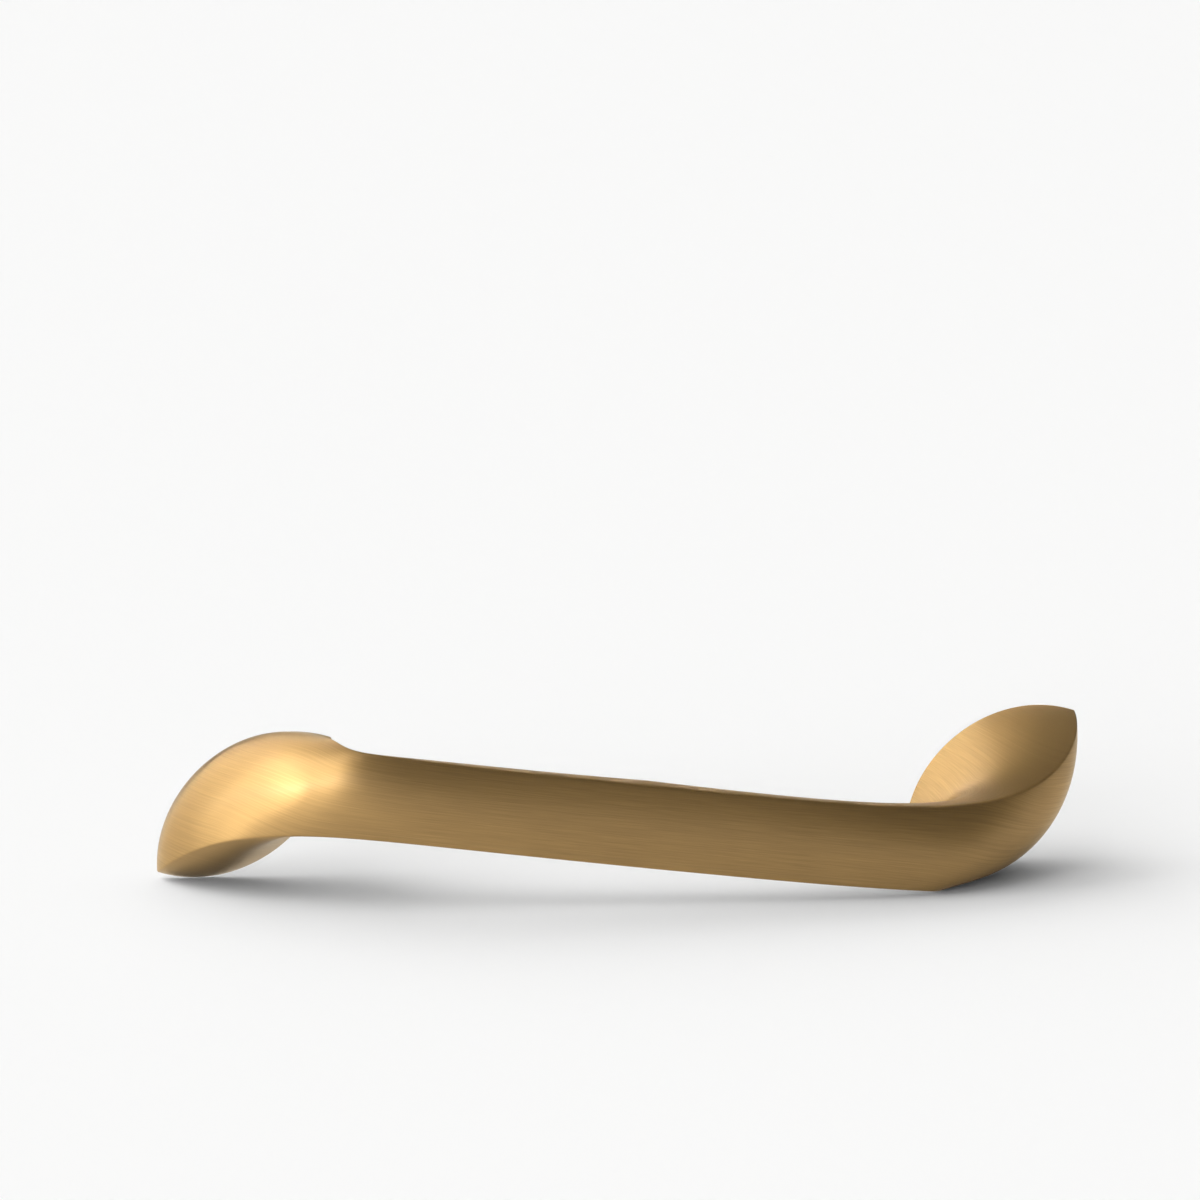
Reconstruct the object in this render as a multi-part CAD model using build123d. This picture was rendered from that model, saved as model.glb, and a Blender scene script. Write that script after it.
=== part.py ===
from build123d import *
import os
from math import cos, radians, sin, sqrt, tan

os.makedirs("parts", exist_ok=True)

# Cabinet pull, one solid brass piece. Millimetres.
# X runs along the line of the two screw holes, Y into the door, Z up the door.
# The feet stand on the mounting plane Y = 0 and the bar lies in front of it, towards -Y.
# A half turn about Y carries the pull onto itself, so only the +X half is described.

# Fixing: two blind tapped holes, one in the middle of each foot.
hole_centres = 128.0
tap_drill = 3.3
thread_major = 4.0
thread_depth = 12.0
lead_in = 0.1
drill_point = 118.0

# Feet: flat almond-shaped pads, pointed at both tips and turned in the mounting plane.
foot_length = 36.8
foot_width = 19.0
foot_angle = 36.6
foot_inset = 0.23

# Bar: slightly crowned front, rounded back, sloping down towards +X.
projection = 28.0
bar_width = 14.0
bar_depth = 8.0
bar_crown = 1.0
bar_slope = 8.0
front_inset = 1 / 3
back_inset = -0.2

# Creases where the front meets the back: how square each bend is seen from above,
# how the crease leaves the line of the bar, and how far the inner one swings past its tip.
outer_square = 3.1
outer_lift = (0.04, 0.81)
inner_square = 38.0
inner_lift = (-0.55, 1.0)
inner_swing = 3.3
swing_ease = 1.6
crease_radius = 0.4

# How early the front swells from the crown of the bar to the dome of the foot,
# and how early it turns from facing out of the door to facing along it.
front_swell = (0.47, 1.3)
front_turn = (1.45, 0.76)
# The same for the back, and how early its flared sides draw in to the almond of the foot.
back_swell = (0.0, 0.0)
back_turn = (0.8, 0.95)
back_draw = (0.4, 0.2)
# How late the outer end of each cross-section pulls ahead of the inner end.
fan = 2.2

stations = 24
crease_steps = 80

half_foot = foot_length / 2
reach = half_foot * cos(radians(foot_angle))
tip_height = half_foot * sin(radians(foot_angle))
outer_tip = hole_centres / 2 + reach
inner_tip = hole_centres / 2 - reach
slope = tan(radians(bar_slope))


def ease(share, early, late):
    """Climb from 0 to 1 as share does, pulled by the early and late values."""
    rest = 1 - share
    return 3 * rest**2 * share * early + 3 * rest * share**2 * late + share**3


def turned(point):
    """The point after a half turn about the Y axis."""
    return Vector(-point.X, point.Y, -point.Z)


def outer_point(u):
    """Outer crease from mid bar to the far tip of the foot, a superellipse seen from above."""
    along = 1 - (1 - u) ** 2
    depth = sqrt(1 - along**outer_square)
    x = outer_tip * along
    lift = tip_height - bar_width / 2 + slope * outer_tip
    z = bar_width / 2 - slope * x + lift * ease(1 - depth, *outer_lift)
    return Vector(x, -projection * depth, z)


def inner_point(u):
    """Inner crease from mid bar to the near tip, the same arch with a much squarer corner."""
    along = 1 - (1 - u) ** 2
    corner = sqrt(1 - along**inner_square)
    x = (inner_tip + inner_swing) * along
    depth = sqrt(1 - (x / outer_tip) ** outer_square) * corner
    x -= inner_swing * (1 - corner) ** swing_ease
    lift = bar_width / 2 + slope * inner_tip - tip_height
    z = -bar_width / 2 - slope * x + lift * ease(1 - corner, *inner_lift)
    return Vector(x, -projection * depth, z)


def bow(start, end, side, rise, inset):
    """Curve from start to end, standing off the chord by rise, its handles set in along the chord."""
    chord = (end - start) * inset
    out = side * (rise / 0.75)
    return Bezier(start, start + chord + out, end - chord + out, end)


def mix(bar_value, foot_value, share):
    """Value between that of the bar and that of the foot."""
    return bar_value + (foot_value - bar_value) * share


def facing(across, retreat, law):
    """Direction that turns from out of the door to across the foot as the bar retreats to its base."""
    angle = radians(90 * ease(retreat, *law))
    return across * sin(angle) - Vector(0, 1, 0) * cos(angle)


def cross_section(outer, inner, s, left):
    """Closed outline at share s of the way from mid bar to the base of a foot."""
    ahead = inner.length * s + (outer.length - inner.length) * s**fan
    far = outer.position_at(ahead / outer.length)
    near = inner.position_at(s)
    retreat = 1 + (far.Y + near.Y) / 2 / projection
    across = Vector(0, 1, 0).cross(far - near).normalized()
    out = facing(across, retreat, front_turn)
    into = -facing(across, retreat, back_turn)
    if left:
        far, near, out, into = turned(near), turned(far), turned(out), turned(into)
    swell = ease(retreat, *front_swell)
    front = bow(far, near, out, mix(bar_crown, foot_width / 2, swell), mix(front_inset, foot_inset, swell))
    depth = mix(bar_depth, foot_width / 2, ease(retreat, *back_swell))
    back = bow(near, far, into, depth, mix(back_inset, foot_inset, ease(s, *back_draw)))
    return Wire([front, back])


def body():
    """Bar and both feet, lofted from one base to the other."""
    outer = Spline([outer_point(i / crease_steps) for i in range(crease_steps + 1)])
    inner = Spline([inner_point(i / crease_steps) for i in range(crease_steps + 1)])
    left = [cross_section(outer, inner, i / stations, True) for i in range(stations, 0, -1)]
    right = [cross_section(outer, inner, i / stations, False) for i in range(stations + 1)]
    return Solid.make_loft(left + right)


def tapped_hole(x):
    """Blind hole for a screw: a cone to lead the thread in, the bore, and the cone left by the drill."""
    lead = (thread_major - tap_drill) / 2 + lead_in
    bore = Pos(x, -thread_depth / 2, 0) * Rot(90, 0, 0) * Cylinder(tap_drill / 2, thread_depth)
    mouth = Pos(x, -lead / 2, 0) * Rot(90, 0, 0) * Cone(tap_drill / 2 + lead, tap_drill / 2, lead)
    point = tap_drill / 2 / tan(radians(drill_point / 2))
    end = Pos(x, -thread_depth - point / 2, 0) * Rot(90, 0, 0) * Cone(tap_drill / 2, 0, point)
    return bore + mouth + end


blank = body()
creases = blank.edges().sort_by(Edge.length)[-2:]
pull = blank.fillet(crease_radius, creases)
for side in (-1, 1):
    pull = pull - tapped_hole(side * hole_centres / 2)
export_step(pull, "parts/pull.step")
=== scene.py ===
import logging
import math
from dataclasses import dataclass, field
from enum import Enum, IntEnum
from typing import Tuple, Union

import bpy
import numpy as np
from mathutils import Matrix, Vector


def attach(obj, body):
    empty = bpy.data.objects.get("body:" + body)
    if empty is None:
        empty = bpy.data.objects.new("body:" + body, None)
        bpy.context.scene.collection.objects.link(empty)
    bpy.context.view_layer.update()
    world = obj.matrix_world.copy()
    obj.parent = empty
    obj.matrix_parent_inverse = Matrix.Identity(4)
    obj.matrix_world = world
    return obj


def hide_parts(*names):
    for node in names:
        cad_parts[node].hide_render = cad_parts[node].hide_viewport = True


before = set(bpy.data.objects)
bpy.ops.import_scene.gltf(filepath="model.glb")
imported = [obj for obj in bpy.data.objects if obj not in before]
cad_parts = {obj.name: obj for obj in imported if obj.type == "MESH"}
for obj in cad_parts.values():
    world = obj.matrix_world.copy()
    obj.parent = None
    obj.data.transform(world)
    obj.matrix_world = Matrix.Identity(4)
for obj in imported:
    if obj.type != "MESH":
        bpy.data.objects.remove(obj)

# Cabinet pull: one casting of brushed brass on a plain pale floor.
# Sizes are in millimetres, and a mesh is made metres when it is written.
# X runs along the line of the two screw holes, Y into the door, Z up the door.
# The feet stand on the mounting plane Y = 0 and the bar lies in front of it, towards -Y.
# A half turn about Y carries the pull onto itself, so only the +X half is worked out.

MM = 0.001
INTO_DOOR = np.array([0.0, 1.0, 0.0])
HALF_TURN = np.array([-1.0, 1.0, -1.0])
BOW_SHARE = 0.75  # a cubic rises to three quarters of the height of its two inner handles
TINY = 1e-9  # keeps a quotient finite
NOISE_LAYERS = 3.0
GRAIN_MAP = "grain"
STROKE_WEIGHT = "stroke_weight"

Array = np.ndarray
Value = Union[float, Array]
Colour = Tuple[float, float, float, float]
Pair = Tuple[float, float]
Triple = Tuple[float, float, float]
Socket = bpy.types.NodeSocket
log = logging.getLogger("cabinet_pull")


class Zone(IntEnum):
    """Finish of a stretch of the surface, as the mesh's material index."""

    BRUSHED = 0
    SANDED = 1


class Side(Enum):
    """Where a lamp hangs, as degrees round the pull from the front and degrees up."""

    FRONT = (-28.0, 13.0)
    FRONT_LEFT = (-55.0, 6.0)
    LOW_LEFT = (-75.0, 8.0)
    UPPER_LEFT = (-66.0, 50.0)
    BACK_LEFT = (-122.0, 22.0)
    HIGH_BACK_LEFT = (-135.0, 44.0)
    OVERHEAD = (-72.0, 58.0)
    BEHIND = (177.0, 32.0)
    RIGHT = (110.0, 54.0)


def ease(share: Array, law: Pair) -> Array:
    """Climb from 0 to 1 along a cubic whose two inner values are the law's early and late pulls.

    Args:
        share: How far along, from 0 to 1.
        law: Early and late pull.

    Returns:
        Eased share, of the same shape.
    """
    rest = 1 - share
    return 3 * rest**2 * share * law[0] + 3 * rest * share**2 * law[1] + share**3


def smooth(share: Array) -> Array:
    """Climb from 0 to 1 that starts and ends level."""
    return share**2 * (3 - 2 * share)


def mix(start: Value, end: Value, share: Array) -> Array:
    """Value between start and end."""
    return start + (end - start) * share


def unit(vectors: Array) -> Array:
    """Vectors brought to length 1."""
    return vectors / np.linalg.norm(vectors, axis=-1, keepdims=True)


def lengths_along(points: Array) -> Array:
    """Distance from the first point, measured along the line of points."""
    return np.concatenate([[0.0], np.cumsum(np.linalg.norm(np.diff(points, axis=0), axis=1))])


def points_at(points: Array, distances: Array) -> Array:
    """Points on the line of points at the given distances along it.

    Args:
        points: Line, one row a point.
        distances: Distances from its start.

    Returns:
        One row a distance.
    """
    along = lengths_along(points)
    return np.stack([np.interp(distances, along, points[:, axis]) for axis in range(3)], axis=1)


def bezier(handles: Array, share: Array) -> Array:
    """Points of cubic Bezier curves, one curve a row.

    Args:
        handles: Rows by 4 handles by 3.
        share: Rows by points, from 0 to 1 along each curve.

    Returns:
        Rows by points by 3.
    """
    rest = 1 - share
    weights = np.stack([rest**3, 3 * rest**2 * share, 3 * rest * share**2, share**3], axis=-1)
    return np.einsum("rpk,rkx->rpx", weights, handles)


def bare_metal(name: str) -> bpy.types.Material:
    """Start a node material for metal.

    Args:
        name: Name of the material.

    Returns:
        Material whose shader is metal throughout.
    """
    made = bpy.data.materials.new(name)
    made.use_nodes = True
    made.node_tree.nodes["Principled BSDF"].inputs["Metallic"].default_value = 1.0
    return made


def drawn_noise(
    made: bpy.types.Material, place: Socket, stretch: Triple, scale: float, harsh: float
) -> Socket:
    """Noise drawn out along the coordinate that has the smallest factor.

    Args:
        made: Material that gets the nodes.
        place: Socket with the coordinates.
        stretch: Factor on each coordinate.
        scale: Scale of the noise.
        harsh: How strongly the finer layers of the noise show.

    Returns:
        Socket with a value from 0 to 1.
    """
    nodes, links = made.node_tree.nodes, made.node_tree.links
    drawn = nodes.new("ShaderNodeMapping")
    drawn.inputs["Scale"].default_value = stretch
    links.new(place, drawn.inputs["Vector"])
    noise = nodes.new("ShaderNodeTexNoise")
    noise.inputs["Scale"].default_value = scale
    noise.inputs["Detail"].default_value = NOISE_LAYERS
    noise.inputs["Roughness"].default_value = harsh
    links.new(drawn.outputs["Vector"], noise.inputs["Vector"])
    return noise.outputs["Fac"]


def tint(made: bpy.types.Material, value: Socket, span: Pair, colours: Tuple[Colour, Colour]) -> None:
    """Colour a material by a value.

    Args:
        made: Material that gets the nodes.
        value: Socket with a value from 0 to 1.
        span: Values at which the two colours are reached.
        colours: Colour at the low end and at the high end.
    """
    nodes, links = made.node_tree.nodes, made.node_tree.links
    ramp = nodes.new("ShaderNodeValToRGB")
    for element, position, colour in zip(ramp.color_ramp.elements, span, colours):
        element.position = position
        element.color = colour
    links.new(value, ramp.inputs["Fac"])
    links.new(ramp.outputs["Color"], nodes["Principled BSDF"].inputs["Base Color"])


def roughen(made: bpy.types.Material, value: Socket, span: Pair, roughness: Pair) -> None:
    """Set a material's roughness by a value.

    Args:
        made: Material that gets the nodes.
        value: Socket with a value from 0 to 1.
        span: Values at which the two degrees of roughness are reached.
        roughness: Roughness at the low end and at the high end.
    """
    nodes, links = made.node_tree.nodes, made.node_tree.links
    reach = nodes.new("ShaderNodeMapRange")
    for name, number in zip(("From Min", "From Max", "To Min", "To Max"), span + roughness):
        reach.inputs[name].default_value = number
    links.new(value, reach.inputs["Value"])
    links.new(reach.outputs["Result"], nodes["Principled BSDF"].inputs["Roughness"])


@dataclass
class CreaseLines:
    """The two edges where the front meets the back, from mid bar to the tips of the right foot.

    The projection is that of the creases: the crown of the bar stands in front of them.
    """

    hole_centres: float = 128.0
    foot_length: float = 36.8
    foot_angle: float = 36.6
    projection: float = 28.0
    bar_width: float = 14.0
    bar_slope: float = 8.0
    outer_square: float = 3.1
    outer_lift: Pair = (0.04, 0.81)
    inner_square: float = 38.0
    inner_lift: Pair = (-0.55, 1.0)
    inner_swing: float = 3.3
    swing_ease: float = 1.6
    fan: float = 2.2
    steps: int = 4000

    def __post_init__(self) -> None:
        """Work out the tips of the foot and the bar's slope."""
        half = self.foot_length / 2
        turn = math.radians(self.foot_angle)
        self.tip_height = half * math.sin(turn)
        self.outer_tip = self.hole_centres / 2 + half * math.cos(turn)
        self.inner_tip = self.hole_centres / 2 - half * math.cos(turn)
        self.slope = math.tan(math.radians(self.bar_slope))

    def along(self) -> Array:
        """Share of the reach from mid bar to the tip, closing up towards the tip."""
        return 1 - (1 - np.linspace(0.0, 1.0, self.steps)) ** 2

    def outer(self) -> Array:
        """Outer crease: seen from above a superellipse, (x/tip)^n + (depth/projection)^2 = 1.

        Its height leaves the sloping line of the bar as the crease nears the door.

        Returns:
            Points, one row each.
        """
        along = self.along()
        depth = np.sqrt(1 - along**self.outer_square)
        x = self.outer_tip * along
        lift = self.tip_height - self.bar_width / 2 + self.slope * self.outer_tip
        z = self.bar_width / 2 - self.slope * x + lift * ease(1 - depth, self.outer_lift)
        return np.stack([x, -self.projection * depth, z], axis=1)

    def inner(self) -> Array:
        """Inner crease: the same arch times a much squarer corner, swung past its tip and back.

        Returns:
            Points, one row each.
        """
        along = self.along()
        corner = np.sqrt(1 - along**self.inner_square)
        x = (self.inner_tip + self.inner_swing) * along
        depth = np.sqrt(1 - (x / self.outer_tip) ** self.outer_square) * corner
        x = x - self.inner_swing * (1 - corner) ** self.swing_ease
        lift = self.bar_width / 2 + self.slope * self.inner_tip - self.tip_height
        z = -self.bar_width / 2 - self.slope * x + lift * ease(1 - corner, self.inner_lift)
        return np.stack([x, -self.projection * depth, z], axis=1)

    def paired(self, share: Array) -> Tuple[Array, Array]:
        """Ends of the cross-sections: equal steps on the inner crease, fanning ahead on the outer.

        Args:
            share: Shares of the way from mid bar to the base of the foot.

        Returns:
            Points on the outer and on the inner crease.
        """
        outer, inner = self.outer(), self.inner()
        long, short = lengths_along(outer)[-1], lengths_along(inner)[-1]
        ahead = short * share + (long - short) * share**self.fan
        return points_at(outer, ahead), points_at(inner, short * share)


@dataclass
class Skin:
    """Front and back of the pull, each a curve bowed between the creases and carried along them."""

    foot_width: float = 19.0
    foot_inset: float = 0.23
    bar_depth: float = 8.0
    bar_crown: float = 1.0
    front_inset: float = 1 / 3
    back_inset: float = -0.2
    front_swell: Pair = (0.47, 1.3)
    front_turn: Pair = (1.45, 0.76)
    back_swell: Pair = (0.0, 0.0)
    back_turn: Pair = (0.8, 0.95)
    back_draw: Pair = (0.4, 0.2)
    crease_cut: float = 0.3
    front_points: int = 41
    back_points: int = 49
    round_points: int = 4

    def facing(self, across: Array, retreat: Array, law: Pair) -> Array:
        """Direction that turns from out of the door to across the foot as the bar retreats.

        Args:
            across: Unit vectors across the foot.
            retreat: 0 at the bar, 1 at the door.
            law: How early it turns.

        Returns:
            Unit vectors.
        """
        angle = (math.pi / 2 * ease(retreat, law))[:, None]
        return across * np.sin(angle) - INTO_DOOR * np.cos(angle)

    def bow(self, start: Array, end: Array, side: Array, rise: Array, inset: Array) -> Array:
        """Handles of curves that stand off their chords, with the inner handles set in along the chord.

        Args:
            start: Starts of the chords.
            end: Ends of the chords.
            side: Unit vectors towards which the curves bow.
            rise: How far they stand off.
            inset: How far in the inner handles are, as a share of the chord.

        Returns:
            Rows by 4 handles by 3.
        """
        chord = (end - start) * inset[:, None]
        out = side * (rise / BOW_SHARE)[:, None]
        return np.stack([start, start + chord + out, end - chord + out, end], axis=1)

    def stretch(self, handles: Array, count: int) -> Array:
        """Points on a bowed curve, leaving out what the rounded creases take at both ends."""
        cut = self.crease_cut / (3 * np.linalg.norm(handles[:, 1] - handles[:, 0], axis=1))[:, None]
        return bezier(handles, cut + (1 - 2 * cut) * np.linspace(0.0, 1.0, count))

    def rounded(self, before: Array, crease: Array, after: Array) -> Array:
        """Points of the round between two faces, a parabola with its handle on the crease.

        Args:
            before: Points where the one face ends.
            crease: Points on the crease.
            after: Points where the other face starts.

        Returns:
            Rows by points by 3.
        """
        share = np.linspace(0.0, 1.0, self.round_points + 2)[1:-1, None]
        rest = 1 - share
        return rest**2 * before[:, None] + 2 * rest * share * crease[:, None] + share**2 * after[:, None]

    def loops(self, lines: CreaseLines, share: Array) -> Array:
        """Closed cross-sections: front, inner round, back, outer round.

        Args:
            lines: The two creases.
            share: Shares of the way from mid bar to the base of the foot.

        Returns:
            Sections by points by 3.
        """
        far, near = lines.paired(share)
        retreat = np.clip(1 + (far[:, 1] + near[:, 1]) / 2 / lines.projection, 0, 1)
        across = unit(np.cross(INTO_DOOR, far - near))
        half = self.foot_width / 2
        swell = ease(retreat, self.front_swell)
        out = self.facing(across, retreat, self.front_turn)
        crown = mix(self.bar_crown, half, swell)
        inset = mix(self.front_inset, self.foot_inset, swell)
        front = self.stretch(self.bow(far, near, out, crown, inset), self.front_points)
        into = -self.facing(across, retreat, self.back_turn)
        depth = mix(self.bar_depth, half, ease(retreat, self.back_swell))
        inset = mix(self.back_inset, self.foot_inset, ease(share, self.back_draw))
        back = self.stretch(self.bow(near, far, into, depth, inset), self.back_points)
        inner = self.rounded(front[:, -1], near, back[:, 0])
        outer = self.rounded(back[:, -1], far, front[:, 0])
        return np.concatenate([front, inner, back, outer], axis=1)


@dataclass
class ScrewHole:
    """Blind tapped hole in the base of a foot.

    The flat is the share of the thread's height that its crests and roots are cut back by.
    """

    centre: float = CreaseLines.hole_centres / 2
    drill: float = 3.3
    major: float = 4.0
    pitch: float = 0.7
    flat: float = 0.15
    depth: float = 12.0
    plain: float = 1.4
    lead_in: float = 0.1
    drill_point: float = 118.0
    rows_a_turn: int = 8

    @property
    def mouth(self) -> float:
        """Radius of the lead-in at the base."""
        return self.major / 2 + self.lead_in

    def rings(self, loop: Array) -> Array:
        """Circles round the hole's axis at the angles of a base loop, from the mouth to the drill's cone.

        The radius is the drill's plus a triangle wave of the angle and the depth, which makes the helix.

        Args:
            loop: Loop round the hole in the base.

        Returns:
            Rings by points by 3.
        """
        angle = np.arctan2(loop[:, 2], loop[:, 0] - self.centre)
        lead = self.mouth - self.drill / 2
        rows = int((self.depth - self.plain - lead) / self.pitch * self.rows_a_turn)
        deep = np.concatenate([[0.0], np.linspace(lead, self.depth - self.plain, rows), [self.depth]])
        phase = angle[None, :] / (2 * math.pi) + deep[:, None] / self.pitch
        wave = 1 - np.abs(2 * (phase % 1) - 1)
        height = (self.major - self.drill) / 2 * np.clip((1 + 2 * self.flat) * wave - self.flat, 0, 1)
        fade = np.clip((self.depth - self.plain - deep) / self.pitch, 0, 1)
        radius = self.drill / 2 + height * fade[:, None]
        radius[0] = self.mouth
        y = np.broadcast_to(-deep[:, None], radius.shape)
        return np.stack([self.centre + radius * np.cos(angle), y, radius * np.sin(angle)], axis=-1)

    def apex(self) -> Array:
        """Tip of the cone that the drill leaves."""
        cone = self.drill / 2 / math.tan(math.radians(self.drill_point / 2))
        return np.array([self.centre, -self.depth - cone, 0.0])


@dataclass(frozen=True)
class BrushedBrass:
    """Brass brushed along its length: fine stretched lines in colour, gloss and relief.

    The edge colour tints what the metal reflects at a glancing angle. Broad strokes are so many times
    as wide and as long as the fine ones.
    """

    colours: Tuple[Colour, Colour] = ((0.39, 0.241, 0.09, 1.0), (0.525, 0.325, 0.122, 1.0))
    colour_span: Pair = (0.28, 0.72)
    roughness: Pair = (0.46, 0.38)
    roughness_span: Pair = (0.3, 0.7)
    anisotropy: float = 0.85
    edge: Colour = (1.0, 0.92, 0.74, 1.0)
    lacquer: float = 0.3
    lacquer_roughness: float = 0.3
    line_width: float = 0.09
    line_length: float = 5.0
    line_harshness: float = 0.6
    noise_scale: float = 0.5
    broad_times: Pair = (4.0, 2.0)
    broad_share: float = 0.25
    quiet_value: float = 0.5
    relief: float = 0.04
    relief_strength: float = 0.25

    def material(self) -> bpy.types.Material:
        """Build the material.

        Returns:
            Node material: strokes and sheen both follow the piece's own UV map.
        """
        made = bare_metal("brass_brushed_lengthwise")
        nodes, links = made.node_tree.nodes, made.node_tree.links
        shader = nodes["Principled BSDF"]
        shader.inputs["Anisotropic"].default_value = self.anisotropy
        shader.inputs["Specular Tint"].default_value = self.edge
        shader.inputs["Coat Weight"].default_value = self.lacquer
        shader.inputs["Coat Roughness"].default_value = self.lacquer_roughness
        tangent = nodes.new("ShaderNodeTangent")
        tangent.direction_type = "UV_MAP"
        tangent.uv_map = GRAIN_MAP
        links.new(tangent.outputs["Tangent"], shader.inputs["Tangent"])
        wider, longer = self.broad_times
        fine = self.strokes(made, self.line_width, self.line_length)
        broad = self.strokes(made, wider * self.line_width, longer * self.line_length)
        both = nodes.new("ShaderNodeMix")
        both.inputs["Factor"].default_value = self.broad_share
        links.new(fine, both.inputs["A"])
        links.new(broad, both.inputs["B"])
        tint(made, both.outputs["Result"], self.colour_span, self.colours)
        roughen(made, both.outputs["Result"], self.roughness_span, self.roughness)
        bump = nodes.new("ShaderNodeBump")
        bump.inputs["Strength"].default_value = self.relief_strength
        bump.inputs["Distance"].default_value = self.relief * MM
        links.new(fine, bump.inputs["Height"])
        links.new(bump.outputs["Normal"], shader.inputs["Normal"])
        return made

    def strokes(self, made: bpy.types.Material, width: float, length: float) -> Socket:
        """Noise drawn out along the grain map's V like brush strokes, quiet where their weight is low.

        Args:
            made: Material that gets the nodes.
            width: Width of a stroke.
            length: Length of a stroke.

        Returns:
            Socket with a value from 0 to 1.
        """
        nodes, links = made.node_tree.nodes, made.node_tree.links
        place = nodes.new("ShaderNodeUVMap")
        place.uv_map = GRAIN_MAP
        stretch = (1 / (width * MM), 1 / (length * MM), 1.0)
        noise = drawn_noise(made, place.outputs["UV"], stretch, self.noise_scale, self.line_harshness)
        weight = nodes.new("ShaderNodeAttribute")
        weight.attribute_name = STROKE_WEIGHT
        quiet = nodes.new("ShaderNodeMix")
        quiet.inputs["A"].default_value = self.quiet_value
        links.new(weight.outputs["Fac"], quiet.inputs["Factor"])
        links.new(noise, quiet.inputs["B"])
        return quiet.outputs["Result"]


@dataclass(frozen=True)
class SandedBrass:
    """Base of a foot, sanded flat, and the cut thread in it."""

    colours: Tuple[Colour, Colour] = ((0.70, 0.53, 0.31, 1.0), (0.80, 0.64, 0.40, 1.0))
    colour_span: Pair = (0.35, 0.65)
    roughness: Pair = (0.35, 0.5)
    grit: float = 0.35
    grit_harshness: float = 0.5
    drawn_out: Triple = (0.05, 1.0, 1.0)

    def material(self) -> bpy.types.Material:
        """Build the material.

        Returns:
            Node material on Object coordinates, with scratches drawn out along X.
        """
        made = bare_metal("sanded_brass")
        place = made.node_tree.nodes.new("ShaderNodeTexCoord")
        scale = 1 / (self.grit * MM)
        noise = drawn_noise(made, place.outputs["Object"], self.drawn_out, scale, self.grit_harshness)
        tint(made, noise, self.colour_span, self.colours)
        roughen(made, noise, (0.0, 1.0), self.roughness)
        return made


@dataclass(frozen=True)
class PaleFloor:
    """Plain matt floor."""

    colour: Colour = (0.93, 0.93, 0.925, 1.0)
    roughness: float = 0.9
    shine: float = 0.1

    def material(self) -> bpy.types.Material:
        """Build the material.

        Returns:
            Plain material.
        """
        made = bpy.data.materials.new("pale_floor")
        made.use_nodes = True
        shader = made.node_tree.nodes["Principled BSDF"]
        shader.inputs["Base Color"].default_value = self.colour
        shader.inputs["Roughness"].default_value = self.roughness
        shader.inputs["Specular IOR Level"].default_value = self.shine
        return made


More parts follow.
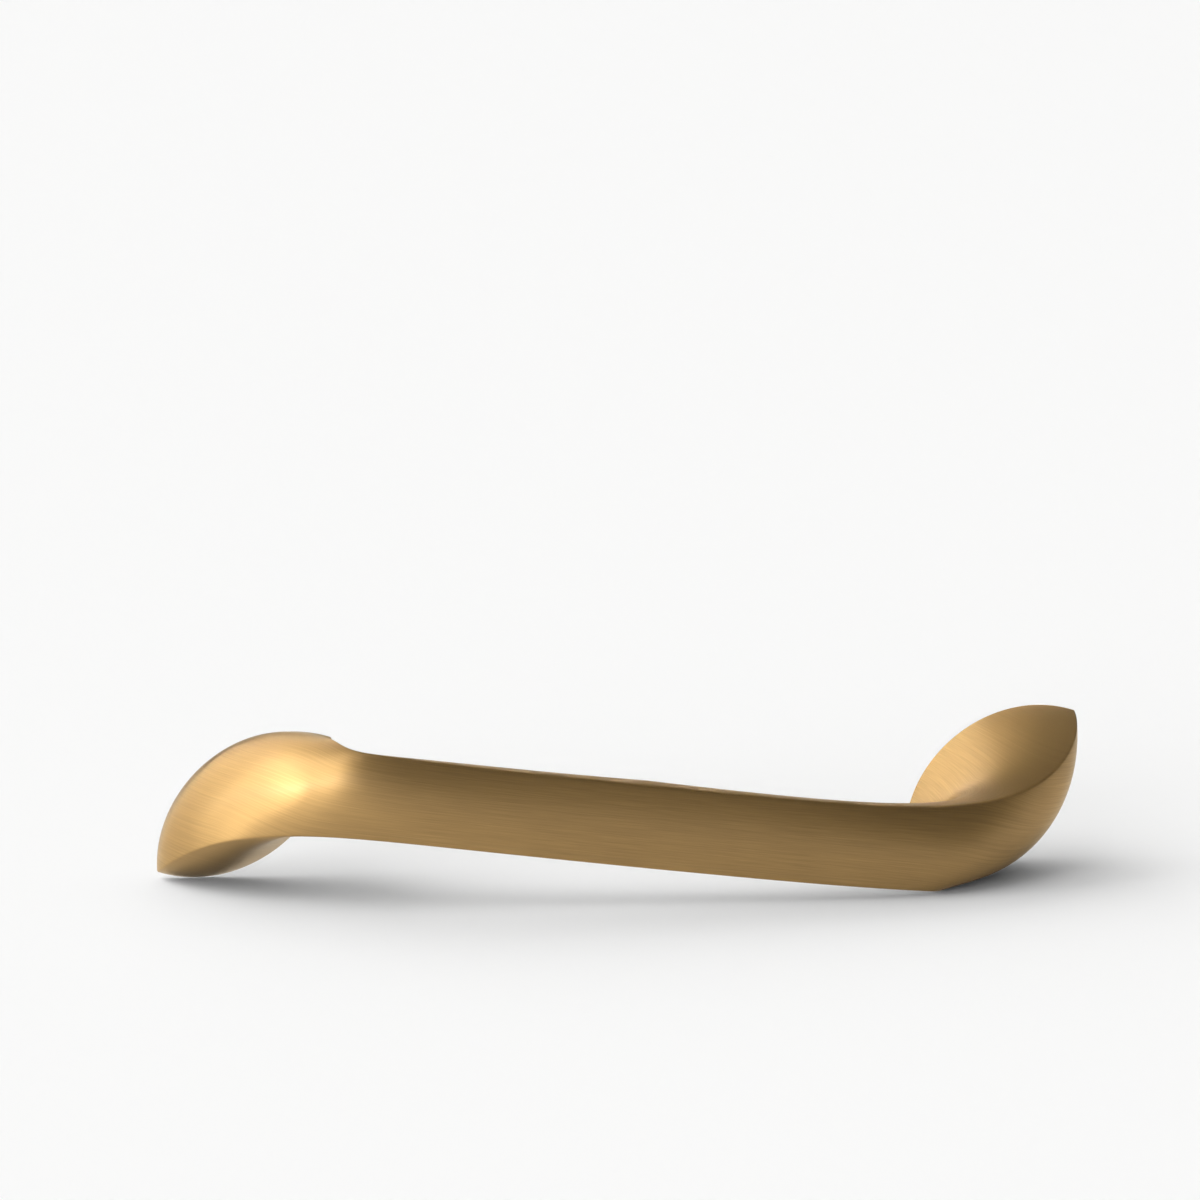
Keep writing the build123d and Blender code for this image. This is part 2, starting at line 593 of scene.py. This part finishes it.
@dataclass
class CabinetPull:
    """The whole casting: bar, bends and feet as one closed skin, with a tapped hole in each base.

    The rim is the broken edge round a base. The factor inside keeps the skin within the solid's facets.
    """

    lines: CreaseLines = field(default_factory=CreaseLines)
    skin: Skin = field(default_factory=Skin)
    hole: ScrewHole = field(default_factory=ScrewHole)
    rim: float = 0.15
    inside: float = 0.9998
    sections: int = 200
    base_rings: int = 8
    arch_steps: int = 801
    sharp_angle: float = 35.0
    foot_from: float = 0.5
    stroke_lean: float = 18.0
    flat_from: float = 0.35
    flat_fade: float = 0.5

    def half(self) -> Tuple[Array, int]:
        """Loops of the right half, from mid bar over the foot and its base into the hole.

        Returns:
            Loops by points by 3, and how many of them are brushed.
        """
        share = np.linspace(0.0, 1.0, self.sections)
        share[-1] = 1 - self.rim / 2 / self.lines.projection
        body = self.skin.loops(self.lines, share)
        centre = np.array([self.hole.centre, 0.0, 0.0])
        edge = self.skin.loops(self.lines, np.array([1.0]))[0]
        edge[:, 1] = 0.0
        edge = centre + (edge - centre) * (1 - 2 * self.rim / self.skin.foot_width)
        mouth = centre + unit(edge - centre) * self.hole.mouth
        share = np.linspace(0.0, 1.0, self.base_rings)[:-1, None, None]
        base = edge + (mouth - edge) * share
        return np.concatenate([body, base, self.hole.rings(edge)]), len(body)

    def grid(self) -> Tuple[Array, Array]:
        """Loops of the whole pull, from the left hole to the right one.

        The left half is the right one after a half turn, its loops run backwards so that the columns match.

        Returns:
            Loops by points by 3, and the zone of the strip that follows each loop.
        """
        right, brushed = self.half()
        left = np.roll((right * HALF_TURN)[:, ::-1], self.skin.front_points, axis=1)[:0:-1]
        zone = np.full(len(right), int(Zone.SANDED))
        zone[:brushed] = int(Zone.BRUSHED)
        return np.concatenate([left, right]), np.concatenate([zone[:-1][::-1], zone])

    def mesh(self) -> bpy.types.Mesh:
        """Write the loops as one closed mesh: strips of quads, and a fan at the end of each hole.

        Returns:
            Mesh in metres.
        """
        loops, zone = self.grid()
        rows, columns = loops.shape[:2]
        tip = self.hole.apex()
        points = np.concatenate([loops.reshape(-1, 3), [tip * HALF_TURN], [tip]]) * MM * self.inside
        number = np.arange(rows * columns).reshape(rows, columns)
        after = np.roll(number, -1, axis=1)
        quads = np.stack([number[:-1], after[:-1], after[1:], number[1:]], axis=-1).reshape(-1, 4)
        first = np.stack([after[0], number[0], np.full(columns, rows * columns)], axis=-1)
        last = np.stack([number[-1], after[-1], np.full(columns, rows * columns + 1)], axis=-1)
        made = bpy.data.meshes.new("cabinet_pull")
        made.from_pydata(points, [], quads.tolist() + first.tolist() + last.tolist())
        ends = np.full(columns, int(Zone.SANDED))
        index = np.concatenate([np.repeat(zone[:-1], columns), ends, ends]).astype(np.int32)
        made.polygons.foreach_set("material_index", index)
        self.map_grain(made, loops)
        made.set_sharp_from_angle(angle=math.radians(self.sharp_angle))
        made.update()
        return made

    def map_grain(self, made: bpy.types.Mesh, loops: Array) -> None:
        """Lay the UV map: U across the strokes of the brush, V along them, in metres.

        On the bar U is the distance round the section and V the distance along it. On the feet V is the
        distance along the arch that the pull makes seen from above, and U a height that leans across the
        arch, so that no stroke closes on itself. The one gives way to the other as the sections retreat.
        The seams lie on the creases.

        Args:
            made: Mesh of the loops.
            loops: Loops that it was made from.
        """
        turn, lean = math.radians(self.lines.bar_slope), math.radians(self.stroke_lean)
        x = loops @ np.array([math.cos(turn), 0.0, -math.sin(turn)])
        height = loops @ np.array([math.sin(turn), 0.0, math.cos(turn)])
        along, outward = self.along_arch(x, loops[..., 1])
        level = math.cos(lean) * height + math.sin(lean) * np.sign(x) * outward
        foot = self.foot_share(loops)
        bar, next_bar = self.round_bar(loops)
        v = mix(x, along, foot)
        here = np.stack([mix(bar, level, foot), v], axis=-1)
        next_u = mix(next_bar, np.roll(level, -1, axis=1), foot)
        after = np.stack([next_u, np.roll(v, -1, axis=1)], axis=-1)
        # The tip of each fan lies a millimetre along V, so that its triangles have some area in the map.
        apart = np.array([0.0, 1.0])
        quads = np.stack([here[:-1], after[:-1], after[1:], here[1:]], axis=-2)
        first = np.stack([after[0], here[0], here[0] + apart], axis=-2)
        last = np.stack([here[-1], after[-1], here[-1] + apart], axis=-2)
        corners = np.concatenate([part.reshape(-1, 2) for part in (quads, first, last)]) * MM
        grain = made.uv_layers.new(name=GRAIN_MAP)
        grain.uv.foreach_set("vector", corners.astype(np.float32).ravel())
        self.weigh_strokes(made, self.steepness(loops, level), foot)

    def foot_share(self, loops: Array) -> Array:
        """How far each loop belongs to a foot: 0 on the bar, 1 once its creases have gone back far enough.

        Args:
            loops: Loops by points by 3.

        Returns:
            One row a loop.
        """
        creases = loops[:, 0, 1] + loops[:, self.skin.front_points - 1, 1]
        retreat = (2 + creases / self.lines.projection) / 2
        return smooth(np.clip(retreat / self.foot_from, 0, 1))[:, None]

    def round_bar(self, loops: Array) -> Tuple[Array, Array]:
        """Distance round the section at mid bar, from the middle of the front or of the back.

        Args:
            loops: Loops by points by 3.

        Returns:
            Distance of each column, and of the column after it as seen from the same face.
        """
        middle = loops[len(loops) // 2]
        girth = lengths_along(np.concatenate([middle, middle[:1]]))
        seam = self.skin.front_points + self.skin.round_points // 2
        front = np.arange(len(middle)) < seam
        front_middle, back_middle = girth[seam] / 2, (girth[seam] + girth[-1]) / 2
        here = np.where(front, front_middle - girth[:-1], girth[:-1] - back_middle)
        after = np.where(front, front_middle - girth[1:], girth[1:] - back_middle)
        return here, after

    def weigh_strokes(self, made: bpy.types.Mesh, steep: Array, foot: Array) -> None:
        """Write how clearly the strokes show.

        Where a foot lies flat to their level they would close into rings, so they fade there.

        Args:
            made: Mesh of the loops.
            steep: Rise of the strokes' level at each point.
            foot: How far each loop belongs to a foot.
        """
        clear = smooth(np.clip((steep - self.flat_from) / self.flat_fade, 0, 1))
        on_loops = mix(np.ones_like(clear), clear, foot)
        # The two last points are the tips of the holes.
        weight = made.attributes.new(STROKE_WEIGHT, "FLOAT", "POINT")
        weight.data.foreach_set("value", np.append(on_loops.ravel(), [1.0, 1.0]).astype(np.float32))

    def steepness(self, loops: Array, level: Array) -> Array:
        """Rise of a level for each millimetre of skin: 0 where the skin lies flat to it, 1 where upright.

        The slopes along and across the loops are weighed by the inverse of the grid's metric.

        Args:
            loops: Loops by points by 3.
            level: Level of each point.

        Returns:
            Rise at each point, from 0 to 1.
        """
        along, rise_along = np.gradient(loops, axis=0), np.gradient(level, axis=0)
        across = (np.roll(loops, -1, axis=1) - np.roll(loops, 1, axis=1)) / 2
        rise_across = (np.roll(level, -1, axis=1) - np.roll(level, 1, axis=1)) / 2
        long, wide, skew = (along**2).sum(-1), (across**2).sum(-1), (along * across).sum(-1)
        square = wide * rise_along**2 - 2 * skew * rise_along * rise_across + long * rise_across**2
        return np.sqrt(np.clip(square / np.maximum(long * wide - skew**2, TINY), 0, 1))

    def along_arch(self, x: Array, y: Array) -> Tuple[Array, Array]:
        """Place on the arch through the middles of bar and feet, a superellipse seen from above.

        Args:
            x: Distances along the bar.
            y: Distances into the door.

        Returns:
            Signed distances from mid bar along the arch, and roughly how far out of it the points stand.
        """
        half, rise = self.lines.hole_centres / 2, self.lines.projection - self.skin.bar_depth / 2
        power = self.lines.outer_square / 2
        turn = np.linspace(-math.pi / 2, math.pi / 2, self.arch_steps)
        arch_x = half * np.sign(turn) * np.abs(np.sin(turn)) ** (1 / power)
        along = lengths_along(np.stack([arch_x, -rise * np.cos(turn), np.zeros_like(turn)], axis=1))
        reach = (np.abs(x) / half) ** power
        place = np.arctan2(np.sign(x) * reach, -y / rise)
        return np.interp(place, turn, along - along[-1] / 2), rise * (np.hypot(reach, y / rise) - 1)

    def build(self) -> bpy.types.Object:
        """Make the piece, dress it and put it on the frame.

        Returns:
            The piece.
        """
        made = self.mesh()
        made.materials.append(BrushedBrass().material())
        made.materials.append(SandedBrass().material())
        piece = bpy.data.objects.new("cabinet_pull", made)
        bpy.context.scene.collection.objects.link(piece)
        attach(piece, "root")
        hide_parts("pull")
        # The floor takes no light from the brass, so the shadows on it stay grey.
        piece.visible_diffuse = False
        return piece


@dataclass(frozen=True)
class Lamp:
    """Soft lamp far off: its side, how wide it looks from the pull in degrees, and its strength."""

    side: Side
    width: float
    strength: float


@dataclass
class Studio:
    """Pale floor, soft light and the camera."""

    floor_tilt: float = 1.06
    floor_reach: float = 8000.0
    azimuth: float = -9.888
    elevation: float = 10.956
    distance: float = 930.0
    aim_right: float = -3.574
    aim_up: float = 32.068
    lens: float = 165.0
    sensor: float = 36.0
    lamps: Tuple[Lamp, ...] = (
        Lamp(Side.FRONT, 30.0, 1.25),
        Lamp(Side.FRONT_LEFT, 20.0, 1.45),
        Lamp(Side.LOW_LEFT, 20.0, 0.45),
        Lamp(Side.UPPER_LEFT, 50.0, 1.2),
        Lamp(Side.BACK_LEFT, 80.0, 2.2),
        Lamp(Side.HIGH_BACK_LEFT, 30.0, 0.15),
        Lamp(Side.OVERHEAD, 76.0, 0.4),
        Lamp(Side.BEHIND, 46.0, 0.5),
        Lamp(Side.RIGHT, 54.0, 0.25),
    )
    world_colour: Colour = (0.03, 0.03, 0.03, 1.0)

    def floor(self, pull: bpy.types.Object) -> bpy.types.Object:
        """Lay a square floor under the pull, tilted so that the left foot and the right bend touch it.

        Args:
            pull: The piece that stands on it.

        Returns:
            The floor.
        """
        points = np.empty(3 * len(pull.data.vertices))
        pull.data.vertices.foreach_get("co", points)
        tilt = math.radians(self.floor_tilt)
        normal = np.array([math.sin(tilt), 0.0, math.cos(tilt)])
        lowest = (points.reshape(-1, 3) @ normal).min()
        corners = np.array([[-1, -1], [1, -1], [1, 1], [-1, 1]]) * self.floor_reach * MM
        height = (lowest - corners @ normal[:2]) / normal[2]
        made = bpy.data.meshes.new("floor")
        made.from_pydata(np.column_stack([corners, height]), [], [(0, 1, 2, 3)])
        made.materials.append(PaleFloor().material())
        piece = bpy.data.objects.new("floor", made)
        bpy.context.scene.collection.objects.link(piece)
        return piece

    def direction(self, round_front: float, up: float) -> Vector:
        """Unit vector from the pull, given in degrees round from the front and degrees up."""
        turn, rise = math.radians(round_front), math.radians(up)
        return Vector((math.sin(turn) * math.cos(rise), -math.cos(turn) * math.cos(rise), math.sin(rise)))

    def hang(self, lamp: Lamp) -> bpy.types.Object:
        """Hang a lamp.

        Args:
            lamp: What to hang.

        Returns:
            The light, named for its side.
        """
        name = lamp.side.name.lower()
        light = bpy.data.lights.new(name, "SUN")
        light.energy = lamp.strength
        light.angle = math.radians(lamp.width)
        # The floor's own rays pass through the pull, so only rays aimed at the lamp may find it.
        light.cycles.use_multiple_importance_sampling = False
        made = bpy.data.objects.new(name, light)
        made.rotation_mode = "QUATERNION"
        made.rotation_quaternion = self.direction(*lamp.side.value).to_track_quat("Z", "Y")
        bpy.context.scene.collection.objects.link(made)
        return made

    def world(self) -> None:
        """Fill the room with dim even light."""
        made = bpy.data.worlds.new("room")
        made.use_nodes = True
        made.node_tree.nodes["Background"].inputs["Color"].default_value = self.world_colour
        bpy.context.scene.world = made

    def camera(self) -> bpy.types.Object:
        """Stand the camera in front of the pull, a little to its left and above.

        Returns:
            The camera.
        """
        back = self.direction(self.azimuth, self.elevation)
        turn = math.radians(self.azimuth)
        right = Vector((math.cos(turn), math.sin(turn), 0.0))
        up = back.cross(right)
        eye = (back * self.distance + right * self.aim_right + up * self.aim_up) * MM
        made = bpy.data.objects.new("camera", bpy.data.cameras.new("camera"))
        made.data.sensor_width = self.sensor
        made.data.lens = self.lens
        made.matrix_world = Matrix.Translation(eye) @ Matrix((right, up, back)).transposed().to_4x4()
        bpy.context.scene.collection.objects.link(made)
        bpy.context.scene.camera = made
        return made

    def build(self, pull: bpy.types.Object) -> None:
        """Set up floor, light, room and camera.

        Args:
            pull: The piece that they are set up round.
        """
        self.floor(pull)
        for lamp in self.lamps:
            self.hang(lamp)
        self.world()
        self.camera()
        bpy.context.scene.view_settings.view_transform = "Standard"


def main() -> None:
    """Build the pull and its studio."""
    logging.basicConfig(level=logging.INFO)
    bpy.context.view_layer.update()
    piece = CabinetPull().build()
    log.info("%s: %d faces", piece.name, len(piece.data.polygons))
    Studio().build(piece)
    bpy.context.view_layer.update()


if __name__ == "__main__":
    main()
